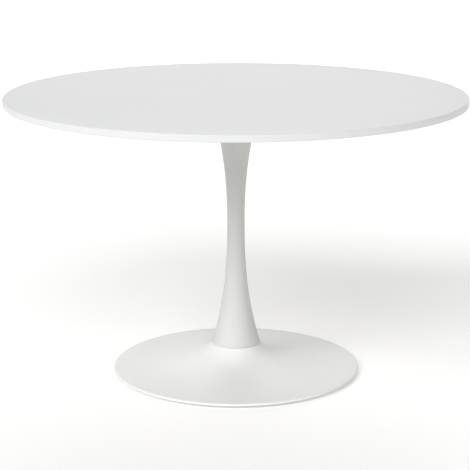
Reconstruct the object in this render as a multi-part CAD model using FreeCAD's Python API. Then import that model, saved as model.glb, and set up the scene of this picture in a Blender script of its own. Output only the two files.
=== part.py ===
import FreeCAD, Part
import math
import os

# Round pedestal table: a lacquered board on a trumpet column and a low cast base, clamped together by
# one long tie rod and levelled by six screw feet. Millimetres, +Z up, with the origin on the floor under
# the centre of the table.

# ---- board ---------------------------------------------------------------------------------------
TABLE_HEIGHT = 745.0
TOP_DIAMETER = 1200.0
TOP_THICKNESS = 18.0
TOP_UPPER_ROUND = 3.0
TOP_LOWER_ROUND = 2.5

# ---- mounting plate under the board, and the screws that hold it ---------------------------------
PLATE_DIAMETER = 380.0
PLATE_THICKNESS = 5.0
PLATE_CHAMFER = 1.0
SCREW_COUNT = 8
SCREW_EDGE_DISTANCE = 20.0
SCREW_DIAMETER = 6.0
SCREW_LENGTH = 16.0
SCREW_HEAD_DIAMETER = 11.0
SCREW_HEAD_HEIGHT = 3.3
SCREW_CROWN_DIAMETER = 6.0
SCREW_SOCKET_ACROSS_FLATS = 4.0
SCREW_SOCKET_DEPTH = 2.0
SCREW_HOLE_CLEARANCE = 0.5
WASHER_DIAMETER = 18.0
WASHER_THICKNESS = 1.6
INSERT_DIAMETER = 10.0
INSERT_LENGTH = 12.0
INSERT_HOLE_EXTRA = 0.5

# ---- column --------------------------------------------------------------------------------------
COLUMN_HEAD_DIAMETER = 132.0
COLUMN_FOOT_DIAMETER = 129.0
COLUMN_WAIST_DIAMETER = 46.0
COLUMN_WAIST_HEIGHT = 405.0
COLUMN_WALL = 2.5
COLUMN_EDGE_BREAK = 0.6
HEAD_FLARE_POWER = 2.2
FOOT_FLARE_POWER = 2.4
COLUMN_OUTLINE_STEPS = 8

# ---- joint between the column and the mounting plate ---------------------------------------------
HEAD_RING_WIDTH = 15.5
HEAD_RING_THICKNESS = 8.0
COLLAR_WALL = 5.0
COLLAR_HEIGHT = 10.0

# ---- joint between the column and the base -------------------------------------------------------
GASKET_THICKNESS = 1.0
GASKET_INSET = 1.4
FOOT_RING_WIDTH = 12.0
FOOT_RING_THICKNESS = 12.0
SPIGOT_HEIGHT = 10.0
SPIGOT_WALL = 7.0
SPIGOT_FLOOR = 4.0
PIN_COUNT = 2
PIN_DIAMETER = 6.0
PIN_DEPTH = 8.0

# ---- base casting --------------------------------------------------------------------------------
BASE_DIAMETER = 656.0
BASE_STANDOFF = 7.0
BASE_RIM_THICKNESS = 6.0
BASE_RIM_UPPER_ROUND = 3.5
BASE_RIM_LOWER_CHAMFER = 1.0
BASE_RIM_LAND = 22.0
BASE_WALL = 6.0
BASE_NECK_HEIGHT = 74.0
BASE_DECK_THICKNESS = 12.0
BASE_FLARE_POWER = 1.07
BASE_OUTLINE_STEPS = 12
RIB_THICKNESS = 6.0
RIB_LIFT = 2.0
RIB_KNEE_RADIUS = 74.0

# ---- tie rod -------------------------------------------------------------------------------------
ROD_DIAMETER = 12.0
ROD_BOSS_DIAMETER = 30.0
ROD_BOSS_LENGTH = 35.0
ROD_TOP_SETBACK = 7.0
ROD_HOLE_CLEARANCE = 1.0
HUB_DIAMETER = 52.0
HUB_UNDERSIDE = 44.0
ROD_WASHER_DIAMETER = 44.0
ROD_WASHER_THICKNESS = 4.0
SPRING_WASHER_DIAMETER = 21.0
SPRING_WASHER_THICKNESS = 3.0
NUT_ACROSS_FLATS = 19.0
NUT_HEIGHT = 10.0
ROD_TAIL = 5.0

# ---- levelling feet ------------------------------------------------------------------------------
LEVELLER_COUNT = 6
LEVELLER_RIM_INSET = 60.0
LEVELLER_BOSS_DIAMETER = 26.0
PAD_DIAMETER = 30.0
PAD_HEIGHT = 4.4
PAD_FLOOR = 1.4
PAD_LIP = 1.0
PAD_FOOT_CHAMFER = 1.0
PAD_SHOULDER_HEIGHT = 1.5
PAD_SHOULDER_WIDTH = 3.0
STUD_DIAMETER = 8.0
STUD_COLLAR_DIAMETER = 10.0
STUD_NECK_DIAMETER = 6.0
STUD_HEX_ACROSS_FLATS = 13.0
STUD_HOLE_SKIN = 2.0
STUD_END_GAP = 0.2

# ---- clearances ----------------------------------------------------------------------------------
SEAT_CLEARANCE = 0.25
THREAD_CLEARANCE = 0.05
PRESS_CLEARANCE = 0.02
SWIVEL_CLEARANCE = 0.2
STOP_CLEARANCE = 0.1

# ---- heights and radii worked out from them ------------------------------------------------------
TOP_RADIUS = TOP_DIAMETER / 2
TOP_UNDERSIDE = TABLE_HEIGHT - TOP_THICKNESS
PLATE_RADIUS = PLATE_DIAMETER / 2
PLATE_UNDERSIDE = TOP_UNDERSIDE - PLATE_THICKNESS
SCREW_SEAT = PLATE_UNDERSIDE - WASHER_THICKNESS
SCREW_CIRCLE_RADIUS = PLATE_RADIUS - SCREW_EDGE_DISTANCE
COLUMN_BOTTOM = BASE_NECK_HEIGHT + GASKET_THICKNESS
COLUMN_HEAD_RADIUS = COLUMN_HEAD_DIAMETER / 2
COLUMN_FOOT_RADIUS = COLUMN_FOOT_DIAMETER / 2
COLUMN_WAIST_RADIUS = COLUMN_WAIST_DIAMETER / 2
COLLAR_RADIUS = COLUMN_HEAD_RADIUS - COLUMN_WALL - HEAD_RING_WIDTH
SPIGOT_RADIUS = COLUMN_FOOT_RADIUS - COLUMN_WALL - FOOT_RING_WIDTH
PIN_CIRCLE_RADIUS = SPIGOT_RADIUS + FOOT_RING_WIDTH / 2
BASE_RADIUS = BASE_DIAMETER / 2
RIM_TOP = BASE_STANDOFF + BASE_RIM_THICKNESS
DECK_UNDERSIDE = BASE_NECK_HEIGHT - BASE_DECK_THICKNESS
LEVELLER_CIRCLE_RADIUS = BASE_RADIUS - LEVELLER_RIM_INSET

OVERCUT = 1.0
SAME_PLACE = 1e-4
CENTRE = FreeCAD.Vector(0, 0, 0)
UP = FreeCAD.Vector(0, 0, 1)


# ---- helpers -------------------------------------------------------------------------------------
def point(radius, height):
    return FreeCAD.Vector(radius, 0, height)


def curve_through(places):
    """A smooth curve through (radius, height) pairs."""
    curve = Part.BSplineCurve()
    curve.interpolate([point(*place) for place in places])
    return curve.toShape()


def lines_through(places):
    return [Part.makeLine(point(*a), point(*b)) for a, b in zip(places[:-1], places[1:])]


def revolve(edges):
    """A solid of revolution about the table's axis, from edges that follow each other round its section."""
    return Part.Face(Part.Wire(edges)).revolve(CENTRE, UP, 360)


def turned(places, x=0.0, y=0.0):
    """A straight-sided turned piece from (radius, height) corners, standing at x, y."""
    solid = revolve(lines_through(places + places[:1]))
    solid.translate(FreeCAD.Vector(x, y, 0))
    return solid


def cylinder(radius, bottom, top, x=0.0, y=0.0):
    return Part.makeCylinder(radius, top - bottom, FreeCAD.Vector(x, y, bottom), UP)


def ring(outer_radius, inner_radius, bottom, top, x=0.0, y=0.0):
    blank = cylinder(outer_radius, bottom, top, x, y)
    return blank.cut(cylinder(inner_radius, bottom - OVERCUT, top + OVERCUT, x, y))


def hexagon(across_flats, bottom, top, x=0.0, y=0.0):
    corner_radius = across_flats / 2 / math.cos(math.pi / 6)
    corners = [
        FreeCAD.Vector(x + corner_radius * math.sin(turn), y + corner_radius * math.cos(turn), bottom)
        for turn in (math.radians(60 * side) for side in range(7))
    ]
    return Part.Face(Part.makePolygon(corners)).extrude(UP * (top - bottom))


def around(count, radius):
    """Evenly spaced places on a circle, the first on +X."""
    turns = [2 * math.pi * k / count for k in range(count)]
    return [(radius * math.cos(turn), radius * math.sin(turn)) for turn in turns]


def circular_edges(solid, radius, height):
    """The solid's edges that are circles about the table's axis with this radius at this height."""
    found = []
    for edge in solid.Edges:
        if not isinstance(edge.Curve, Part.Circle):
            continue
        same_radius = abs(edge.Curve.Radius - radius) < SAME_PLACE
        if same_radius and edge.Curve.Center.distanceToPoint(point(0, height)) < SAME_PLACE:
            found.append(edge)
    return found


def save(name, *solids):
    shape = solids[0] if len(solids) == 1 else Part.makeCompound(list(solids))
    shape.exportStep(f"parts/{name}.step")


# ---- outlines ------------------------------------------------------------------------------------
def column_radius(height):
    """Outer radius of the column: narrow at the waist, flaring like a trumpet to both ends."""
    above = height >= COLUMN_WAIST_HEIGHT
    end_height = PLATE_UNDERSIDE if above else COLUMN_BOTTOM
    end_radius = COLUMN_HEAD_RADIUS if above else COLUMN_FOOT_RADIUS
    power = HEAD_FLARE_POWER if above else FOOT_FLARE_POWER
    share = abs(height - COLUMN_WAIST_HEIGHT) / abs(end_height - COLUMN_WAIST_HEIGHT)
    return COLUMN_WAIST_RADIUS + (end_radius - COLUMN_WAIST_RADIUS) * share**power


def column_outline(inset):
    """Points up the column's wall, this far inside its outer face."""
    lower = COLUMN_WAIST_HEIGHT - COLUMN_BOTTOM
    upper = PLATE_UNDERSIDE - COLUMN_WAIST_HEIGHT
    steps = COLUMN_OUTLINE_STEPS
    heights = [COLUMN_BOTTOM + lower * k / steps for k in range(steps)]
    heights += [COLUMN_WAIST_HEIGHT + upper * k / steps for k in range(steps + 1)]
    return [(column_radius(z) - inset, z) for z in heights]


def base_height(radius):
    """Height of the base's upper face: nearly flat at the rim, rising like a trumpet to the neck."""
    rise = (BASE_RADIUS / radius) ** BASE_FLARE_POWER - 1
    whole_rise = (BASE_RADIUS / COLUMN_FOOT_RADIUS) ** BASE_FLARE_POWER - 1
    return RIM_TOP + (BASE_NECK_HEIGHT - RIM_TOP) * rise / whole_rise


def base_radius_at(height):
    """Radius where the base's upper face has that height."""
    whole_rise = (BASE_RADIUS / COLUMN_FOOT_RADIUS) ** BASE_FLARE_POWER - 1
    rise = whole_rise * (height - RIM_TOP) / (BASE_NECK_HEIGHT - RIM_TOP)
    return BASE_RADIUS / (1 + rise) ** (1 / BASE_FLARE_POWER)


def base_outline(start, end, drop):
    """Points out along the base, this far below its upper face, closer together towards the neck."""
    steps = BASE_OUTLINE_STEPS
    radii = [start * (end / start) ** (k / steps) for k in range(steps + 1)]
    return [(r, base_height(r) - drop) for r in radii]


# ---- board and what is fixed in it ---------------------------------------------------------------
def make_table_top():
    board = cylinder(TOP_RADIUS, TOP_UNDERSIDE, TABLE_HEIGHT)
    board = board.makeFillet(TOP_UPPER_ROUND, circular_edges(board, TOP_RADIUS, TABLE_HEIGHT))
    board = board.makeFillet(TOP_LOWER_ROUND, circular_edges(board, TOP_RADIUS, TOP_UNDERSIDE))
    hole_top = TOP_UNDERSIDE + INSERT_LENGTH + INSERT_HOLE_EXTRA
    for x, y in around(SCREW_COUNT, SCREW_CIRCLE_RADIUS):
        board = board.cut(cylinder(INSERT_DIAMETER / 2, TOP_UNDERSIDE - OVERCUT, hole_top, x, y))
    return board


def make_insert(x, y):
    outer = INSERT_DIAMETER / 2 - PRESS_CLEARANCE
    return ring(outer, SCREW_DIAMETER / 2, TOP_UNDERSIDE, TOP_UNDERSIDE + INSERT_LENGTH, x, y)


def make_screw(x, y):
    crown = SCREW_SEAT - SCREW_HEAD_HEIGHT
    tip = SCREW_SEAT + SCREW_LENGTH
    shank = SCREW_DIAMETER / 2 - THREAD_CLEARANCE
    head = [(0, crown), (SCREW_CROWN_DIAMETER / 2, crown), (SCREW_HEAD_DIAMETER / 2, SCREW_SEAT)]
    body = turned(head + [(shank, SCREW_SEAT), (shank, tip), (0, tip)], x, y)
    return body.cut(hexagon(SCREW_SOCKET_ACROSS_FLATS, crown - OVERCUT, crown + SCREW_SOCKET_DEPTH, x, y))


def make_washer(x, y):
    return ring(WASHER_DIAMETER / 2, SCREW_DIAMETER / 2 + SEAT_CLEARANCE, SCREW_SEAT, PLATE_UNDERSIDE, x, y)


# ---- mounting plate ------------------------------------------------------------------------------
def make_mounting_plate():
    plate = cylinder(PLATE_RADIUS, PLATE_UNDERSIDE, TOP_UNDERSIDE)
    plate = plate.makeChamfer(PLATE_CHAMFER, circular_edges(plate, PLATE_RADIUS, PLATE_UNDERSIDE))
    low, high = PLATE_UNDERSIDE - OVERCUT, TOP_UNDERSIDE + OVERCUT
    plate = plate.cut(cylinder(ROD_BOSS_DIAMETER / 2 + PRESS_CLEARANCE, low, high))
    for x, y in around(SCREW_COUNT, SCREW_CIRCLE_RADIUS):
        plate = plate.cut(cylinder(SCREW_DIAMETER / 2 + SCREW_HOLE_CLEARANCE, low, high, x, y))
    return plate


def make_centring_collar():
    bore = COLLAR_RADIUS - COLLAR_WALL
    return ring(COLLAR_RADIUS - SEAT_CLEARANCE, bore, PLATE_UNDERSIDE - COLLAR_HEIGHT, PLATE_UNDERSIDE)


def make_rod_boss():
    return ring(ROD_BOSS_DIAMETER / 2, ROD_DIAMETER / 2, TOP_UNDERSIDE - ROD_BOSS_LENGTH, TOP_UNDERSIDE)


# ---- column --------------------------------------------------------------------------------------
def make_column_shell():
    outer, inner = column_outline(0.0), column_outline(COLUMN_WALL)
    top_edge = Part.makeLine(point(*outer[-1]), point(*inner[-1]))
    bottom_edge = Part.makeLine(point(*inner[0]), point(*outer[0]))
    shell = revolve([curve_through(outer), top_edge, curve_through(inner), bottom_edge])
    return shell.makeChamfer(COLUMN_EDGE_BREAK, circular_edges(shell, COLUMN_FOOT_RADIUS, COLUMN_BOTTOM))


def column_slice(bottom, top):
    """A slab that fills the space inside the column's wall between two heights."""
    inner = column_outline(COLUMN_WALL)
    closing = lines_through([inner[-1], (0, PLATE_UNDERSIDE), (0, COLUMN_BOTTOM), inner[0]])
    cavity = revolve([curve_through(inner), *closing])
    return cavity.common(cylinder(max(COLUMN_HEAD_RADIUS, COLUMN_FOOT_RADIUS), bottom, top))


def make_head_ring():
    slab = column_slice(PLATE_UNDERSIDE - HEAD_RING_THICKNESS, PLATE_UNDERSIDE)
    return slab.cut(cylinder(COLLAR_RADIUS, 0, TABLE_HEIGHT))


def make_foot_ring():
    slab = column_slice(COLUMN_BOTTOM, COLUMN_BOTTOM + FOOT_RING_THICKNESS)
    slab = slab.cut(cylinder(SPIGOT_RADIUS + SEAT_CLEARANCE, 0, TABLE_HEIGHT))
    for x, y in around(PIN_COUNT, PIN_CIRCLE_RADIUS):
        slab = slab.cut(cylinder(PIN_DIAMETER / 2, 0, COLUMN_BOTTOM + PIN_DEPTH, x, y))
    return slab


def make_gasket():
    outer, bore = COLUMN_FOOT_RADIUS - GASKET_INSET, SPIGOT_RADIUS + SEAT_CLEARANCE
    gasket = ring(outer, bore, BASE_NECK_HEIGHT, COLUMN_BOTTOM)
    for x, y in around(PIN_COUNT, PIN_CIRCLE_RADIUS):
        gasket = gasket.cut(cylinder(PIN_DIAMETER / 2, 0, TABLE_HEIGHT, x, y))
    return gasket


def make_pin(x, y):
    radius = PIN_DIAMETER / 2 - PRESS_CLEARANCE
    return cylinder(radius, BASE_NECK_HEIGHT - PIN_DEPTH, COLUMN_BOTTOM + PIN_DEPTH, x, y)


# ---- base casting --------------------------------------------------------------------------------
def base_envelope():
    """The base filled in below, with its rounded rim."""
    face = base_outline(COLUMN_FOOT_RADIUS, BASE_RADIUS, 0.0)
    underneath = [face[-1], (BASE_RADIUS, BASE_STANDOFF), (0, BASE_STANDOFF), (0, BASE_NECK_HEIGHT), face[0]]
    solid = revolve([curve_through(face), *lines_through(underneath)])
    solid = solid.makeFillet(BASE_RIM_UPPER_ROUND, circular_edges(solid, BASE_RADIUS, RIM_TOP))
    solid = solid.makeChamfer(BASE_RIM_LOWER_CHAMFER, circular_edges(solid, BASE_RADIUS, BASE_STANDOFF))
    return solid.makeChamfer(COLUMN_EDGE_BREAK, circular_edges(solid, COLUMN_FOOT_RADIUS, BASE_NECK_HEIGHT))


def base_cavity():
    """The hollow under the base, before its hub, ribs and bosses are put in."""
    shoulder = base_radius_at(DECK_UNDERSIDE + BASE_WALL)
    land = BASE_RADIUS - BASE_RIM_LAND
    roof = base_outline(shoulder, land, BASE_WALL)
    floor = BASE_STANDOFF - OVERCUT
    closing = lines_through([roof[-1], (land, floor), (0, floor), (0, DECK_UNDERSIDE), roof[0]])
    return revolve([curve_through(roof), *closing])


def make_rib(angle):
    """One upright rib from the hub to a levelling foot, before it is trimmed to the hollow."""
    underside = BASE_STANDOFF + RIB_LIFT
    start, end = HUB_DIAMETER / 2 - OVERCUT, LEVELLER_CIRCLE_RADIUS
    section = [(start, HUB_UNDERSIDE), (RIB_KNEE_RADIUS, underside), (end, underside)]
    section += [(end, BASE_NECK_HEIGHT), (start, BASE_NECK_HEIGHT)]
    side = Part.Face(Part.Wire(lines_through(section + section[:1])))
    rib = side.extrude(FreeCAD.Vector(0, RIB_THICKNESS, 0))
    rib.translate(FreeCAD.Vector(0, -RIB_THICKNESS / 2, 0))
    rib.rotate(CENTRE, UP, angle)
    return rib


def make_base_casting():
    cavity = base_cavity()
    feet = around(LEVELLER_COUNT, LEVELLER_CIRCLE_RADIUS)
    stiffening = [make_rib(360.0 * k / LEVELLER_COUNT) for k in range(LEVELLER_COUNT)]
    stiffening += [cylinder(LEVELLER_BOSS_DIAMETER / 2, BASE_STANDOFF, RIM_TOP, x, y) for x, y in feet]
    spigot_top = BASE_NECK_HEIGHT + SPIGOT_HEIGHT
    hub = cylinder(HUB_DIAMETER / 2, HUB_UNDERSIDE, BASE_NECK_HEIGHT)
    spigot = cylinder(SPIGOT_RADIUS, DECK_UNDERSIDE, spigot_top)
    casting = base_envelope().cut(cavity)
    casting = casting.fuse([hub, spigot, *[piece.common(cavity) for piece in stiffening]])
    recess_floor = BASE_NECK_HEIGHT + SPIGOT_FLOOR
    casting = casting.cut(cylinder(SPIGOT_RADIUS - SPIGOT_WALL, recess_floor, spigot_top + OVERCUT))
    casting = casting.cut(cylinder(ROD_DIAMETER / 2 + ROD_HOLE_CLEARANCE, 0, TABLE_HEIGHT))
    for x, y in around(PIN_COUNT, PIN_CIRCLE_RADIUS):
        casting = casting.cut(cylinder(PIN_DIAMETER / 2, BASE_NECK_HEIGHT - PIN_DEPTH, spigot_top, x, y))
    for x, y in feet:
        casting = casting.cut(cylinder(STUD_DIAMETER / 2, 0, stud_hole_top(), x, y))
    return casting.removeSplitter()


# ---- tie rod and its fasteners -------------------------------------------------------------------
def rod_stack():
    """Heights under the hub, from the top down: washer, spring washer, nut and the rod's tail."""
    heights = [HUB_UNDERSIDE]
    for thickness in (ROD_WASHER_THICKNESS, SPRING_WASHER_THICKNESS, NUT_HEIGHT, ROD_TAIL):
        heights.append(heights[-1] - thickness)
    return heights


def make_tie_rod():
    return cylinder(ROD_DIAMETER / 2 - THREAD_CLEARANCE, rod_stack()[4], TOP_UNDERSIDE - ROD_TOP_SETBACK)


def make_rod_washer():
    top, bottom = rod_stack()[0:2]
    return ring(ROD_WASHER_DIAMETER / 2, ROD_DIAMETER / 2 + SEAT_CLEARANCE, bottom, top)


def make_spring_washer():
    top, bottom = rod_stack()[1:3]
    return ring(SPRING_WASHER_DIAMETER / 2, ROD_DIAMETER / 2 + SEAT_CLEARANCE, bottom, top)


def make_nut():
    top, bottom = rod_stack()[2:4]
    return hexagon(NUT_ACROSS_FLATS, bottom, top).cut(cylinder(ROD_DIAMETER / 2, 0, TABLE_HEIGHT))


# ---- levelling feet ------------------------------------------------------------------------------
def stud_hole_top():
    return base_height(LEVELLER_CIRCLE_RADIUS) - STUD_HOLE_SKIN


def make_foot_pad(x, y):
    rim = PAD_DIAMETER / 2
    shoulder = PAD_HEIGHT - PAD_SHOULDER_HEIGHT
    section = [(0, 0), (rim - PAD_FOOT_CHAMFER, 0), (rim, PAD_FOOT_CHAMFER), (rim, shoulder)]
    section += [(rim - PAD_SHOULDER_WIDTH, PAD_HEIGHT), (0, PAD_HEIGHT)]
    pad = turned(section, x, y)
    collar_room = STUD_COLLAR_DIAMETER / 2 + SWIVEL_CLEARANCE
    neck_room = STUD_NECK_DIAMETER / 2 + SWIVEL_CLEARANCE
    pad = pad.cut(cylinder(collar_room, PAD_FLOOR, PAD_HEIGHT - PAD_LIP, x, y))
    return pad.cut(cylinder(neck_room, PAD_FLOOR, PAD_HEIGHT + OVERCUT, x, y))


def make_foot_stud(x, y):
    collar, neck = STUD_COLLAR_DIAMETER / 2, STUD_NECK_DIAMETER / 2
    thread = STUD_DIAMETER / 2 - THREAD_CLEARANCE
    collar_bottom = PAD_FLOOR + SWIVEL_CLEARANCE
    collar_top = PAD_HEIGHT - PAD_LIP - SWIVEL_CLEARANCE
    hex_bottom = PAD_HEIGHT + SWIVEL_CLEARANCE
    hex_top = BASE_STANDOFF - STOP_CLEARANCE
    thread_top = stud_hole_top() - STUD_END_GAP
    section = [(0, collar_bottom), (collar, collar_bottom), (collar, collar_top), (neck, collar_top)]
    section += [(neck, hex_bottom), (thread, hex_bottom), (thread, thread_top), (0, thread_top)]
    stud = turned(section, x, y)
    return stud.fuse(hexagon(STUD_HEX_ACROSS_FLATS, hex_bottom, hex_top, x, y)).removeSplitter()


def main():
    os.makedirs("parts", exist_ok=True)
    screw_places = around(SCREW_COUNT, SCREW_CIRCLE_RADIUS)
    save("table_top", make_table_top())
    save("top_inserts", *[make_insert(x, y) for x, y in screw_places])
    save("mounting_plate", make_mounting_plate())
    save("centring_collar", make_centring_collar())
    save("tie_rod_boss", make_rod_boss())
    save("plate_screws", *[make_screw(x, y) for x, y in screw_places])
    save("plate_washers", *[make_washer(x, y) for x, y in screw_places])
    save("column_shell", make_column_shell())
    save("column_head_ring", make_head_ring())
    save("column_foot_ring", make_foot_ring())
    save("joint_gasket", make_gasket())
    save("locating_pins", *[make_pin(x, y) for x, y in around(PIN_COUNT, PIN_CIRCLE_RADIUS)])
    save("base_casting", make_base_casting())
    save("tie_rod", make_tie_rod())
    save("tie_rod_washer", make_rod_washer())
    save("tie_rod_spring_washer", make_spring_washer())
    save("tie_rod_nut", make_nut())
    for number, (x, y) in enumerate(around(LEVELLER_COUNT, LEVELLER_CIRCLE_RADIUS), start=1):
        save(f"foot_pad_{number}", make_foot_pad(x, y))
        save(f"foot_stud_{number}", make_foot_stud(x, y))


main()
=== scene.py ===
import math

import bmesh
import bpy
from bpy.props import FloatProperty, IntProperty, PointerProperty, StringProperty
from mathutils import Matrix, Vector


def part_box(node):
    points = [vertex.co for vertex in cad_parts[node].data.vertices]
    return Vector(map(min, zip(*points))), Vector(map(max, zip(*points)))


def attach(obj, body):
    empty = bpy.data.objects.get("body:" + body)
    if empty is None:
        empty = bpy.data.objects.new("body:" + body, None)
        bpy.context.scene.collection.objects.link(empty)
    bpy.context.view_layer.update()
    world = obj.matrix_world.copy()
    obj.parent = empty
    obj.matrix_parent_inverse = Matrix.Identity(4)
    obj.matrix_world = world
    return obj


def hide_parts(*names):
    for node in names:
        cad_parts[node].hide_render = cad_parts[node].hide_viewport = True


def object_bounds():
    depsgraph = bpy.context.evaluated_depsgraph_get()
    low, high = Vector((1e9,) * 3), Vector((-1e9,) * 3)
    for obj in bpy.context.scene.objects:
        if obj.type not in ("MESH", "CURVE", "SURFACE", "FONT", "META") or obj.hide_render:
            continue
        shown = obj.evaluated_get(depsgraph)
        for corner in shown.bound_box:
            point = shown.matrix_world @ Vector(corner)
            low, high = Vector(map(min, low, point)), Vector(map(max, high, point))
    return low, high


bl_info = {
    "name": "Round pedestal table",
    "version": (1, 0, 0),
    "blender": (4, 5, 0),
    "location": "3D View > Sidebar > Table",
    "description": "Builds a white round table on a trumpet pedestal, piece by piece, around its frame",
    "category": "Add Mesh",
}

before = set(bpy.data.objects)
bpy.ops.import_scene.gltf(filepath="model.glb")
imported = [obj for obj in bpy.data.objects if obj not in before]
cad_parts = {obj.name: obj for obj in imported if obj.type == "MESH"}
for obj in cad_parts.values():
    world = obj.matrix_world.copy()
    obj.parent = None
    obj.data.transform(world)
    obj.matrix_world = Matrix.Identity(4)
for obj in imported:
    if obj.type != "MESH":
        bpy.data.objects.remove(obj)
cad_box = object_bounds()

# Everything is in metres, in the frame's own axes: +Z up, the origin on the floor under the table's centre.
MM = 0.001
TURN = 2 * math.pi
ON_AXIS = 0.001 * MM
SAME_RADIUS = 0.01 * MM
SAME_POINT = 0.002 * MM
# Gap round a piece that fits without play, and how far a cutting tool reaches past what it cuts.
FIT_GAP = 0.02 * MM
OVERCUT = 1.0 * MM
SHARP_EDGE = math.radians(38)
FACING_DOWN = -0.99
WHITE = "#FFFFFF"
# A nut or a hexagon is turned down to this share of its width, at this slope, before its flats are cut.
TURNED_FACE = 0.475
TURNED_SLOPE = math.tan(math.radians(30))


def reach(node):
    """Outer radius, lowest height and highest height of a frame node that is centred on the table's axis."""
    low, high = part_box(node)
    return min(-low.x, -low.y, high.x, high.y), low.z, high.z


# ---- settings ------------------------------------------------------------------------------------
def number(name, description, default, unit="NONE"):
    return FloatProperty(name=name, description=description, default=default, unit=unit, precision=4)


def length(name, description, default):
    return number(name, description, default, "LENGTH")


def hex_colour(name, description, default):
    return StringProperty(name=name, description=f"{description}, as an sRGB hex value", default=default)


class BoardSettings(bpy.types.PropertyGroup):
    """The round top and the threaded inserts in it."""

    radius: length("Radius", "Outer radius of the board", reach("table_top")[0])
    underside: length("Underside", "Height of the board's underside", reach("table_top")[1])
    surface: length("Surface", "Height of the board's upper face", reach("table_top")[2])
    upper_round: length("Upper rounding", "Rounding of the upper edge", 3.0 * MM)
    lower_round: length("Lower rounding", "Rounding of the lower edge", 2.5 * MM)
    insert_radius: length("Insert radius", "Radius of the holes for the threaded inserts", 5.0 * MM)
    insert_length: length("Insert length", "Length of a threaded insert", 12.0 * MM)


class PlateSettings(bpy.types.PropertyGroup):
    """The steel plate under the board, and its screws."""

    radius: length("Radius", "Outer radius of the plate", reach("mounting_plate")[0])
    screw_inset: length("Screw inset", "Distance from the plate's rim to the screws", 20.0 * MM)
    screw_count: IntProperty(name="Screws", description="How many screws hold the plate", default=8, min=3)
    screw_radius: length("Screw radius", "Outer radius of the screws' thread", 2.95 * MM)
    screw_pitch: length("Screw pitch", "Pitch of the screws' thread", 1.0 * MM)
    head_radius: length("Head radius", "Radius of a screw's head", 5.5 * MM)
    socket: length("Socket", "Width across flats of the socket in a screw's head", 4.0 * MM)
    socket_depth: length("Socket depth", "Depth of that socket", 2.0 * MM)
    hole_radius: length("Hole radius", "Radius of the plate's screw holes", 3.5 * MM)
    boss_radius: length("Boss radius", "Radius of the boss that the tie rod screws into", 15.0 * MM)
    collar_wall: length("Collar wall", "Wall of the ring that centres the column", 5.0 * MM)


class ColumnSettings(bpy.types.PropertyGroup):
    """The hollow trumpet column."""

    head_radius: length("Head radius", "Outer radius at the plate", reach("column_shell")[0])
    foot_radius: length("Foot radius", "Outer radius where the column stands on the base", 64.5 * MM)
    waist_radius: length("Waist radius", "Outer radius at the narrowest height", 23.0 * MM)
    waist_height: length("Waist height", "Height of the narrowest place", 405.0 * MM)
    wall: length("Wall", "Wall thickness", 2.5 * MM)
    head_flare: number("Head flare", "How late the column opens upwards", 2.2)
    foot_flare: number("Foot flare", "How late the column opens downwards", 2.4)
    ring_gap: length("Ring gap", "Gap between a ring in the column's end and what it fits round", 0.25 * MM)
    edge_break: length("Edge break", "Rounding of the foot's outer edge", 0.6 * MM)


class BaseSettings(bpy.types.PropertyGroup):
    """The low cast base."""

    radius: length("Radius", "Outer radius of the base", reach("base_casting")[0])
    neck_height: length("Neck height", "Height of the neck under the column", reach("joint_gasket")[1])
    standoff: length("Standoff", "Gap between the floor and the rim", reach("base_casting")[1])
    rim: length("Rim thickness", "Thickness of the rim", 6.0 * MM)
    rim_round: length("Rim rounding", "Rounding of the rim's upper edge", 3.5 * MM)
    rim_land: length("Rim land", "Width of the solid band behind the rim", 22.0 * MM)
    flare: number("Flare", "Power of the curve from the rim to the neck", 1.07)
    wall: length("Wall", "Thickness of the casting under its upper face", 6.0 * MM)
    deck: length("Deck", "Thickness of the deck under the neck", 12.0 * MM)
    spigot_radius: length("Spigot radius", "Radius of the spigot that centres the column", 50.0 * MM)
    spigot_wall: length("Spigot wall", "Wall of the spigot round its recess", 7.0 * MM)
    recess_floor: length("Recess floor", "Height of the recess's floor over the neck", 4.0 * MM)
    rod_hole: length("Rod hole", "Radius of the hole for the tie rod", 7.0 * MM)
    hub_radius: length("Hub radius", "Radius of the hub round the tie rod", 26.0 * MM)
    rib_thickness: length("Rib thickness", "Thickness of the ribs", 6.0 * MM)
    rib_rise: length("Rib rise", "Height of the ribs' low part over the rim's lower edge", 2.0 * MM)
    knee_radius: length("Rib knee", "Radius where the ribs become low", 74.0 * MM)
    knee_bend: length("Knee bend", "Softness of the bend at a rib's knee", 4.0 * MM)
    fillet: length("Casting fillet", "Fillet where a rib grows out of the wall", 4.0 * MM)
    feet: IntProperty(name="Feet", description="How many levelling feet the base stands on", default=6, min=3)
    foot_inset: length("Foot inset", "Distance from the rim to the levelling feet", 60.0 * MM)
    boss_radius: length("Boss radius", "Radius of the boss over a foot", 13.0 * MM)
    boss_cover: length("Boss cover", "Casting left over a foot's boss and hole", 2.0 * MM)
    stud_hole: length("Stud hole", "Radius of the hole for a foot's stud", 4.0 * MM)


class RodSettings(bpy.types.PropertyGroup):
    """The tie rod and the fasteners at its lower end."""

    radius: length("Radius", "Outer radius of the rod's thread", 5.95 * MM)
    pitch: length("Pitch", "Pitch of the rod's thread", 1.75 * MM)
    threaded: length("Threaded length", "Length of the thread at each end of the rod", 60.0 * MM)
    washer_bore: length("Washer bore", "Radius of the hole in both washers", 6.25 * MM)
    nut_bore: length("Nut bore", "Radius of the hole in the nut", 6.0 * MM)
    across_flats: length("Nut size", "Width of the nut across its flats", 19.0 * MM)


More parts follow.
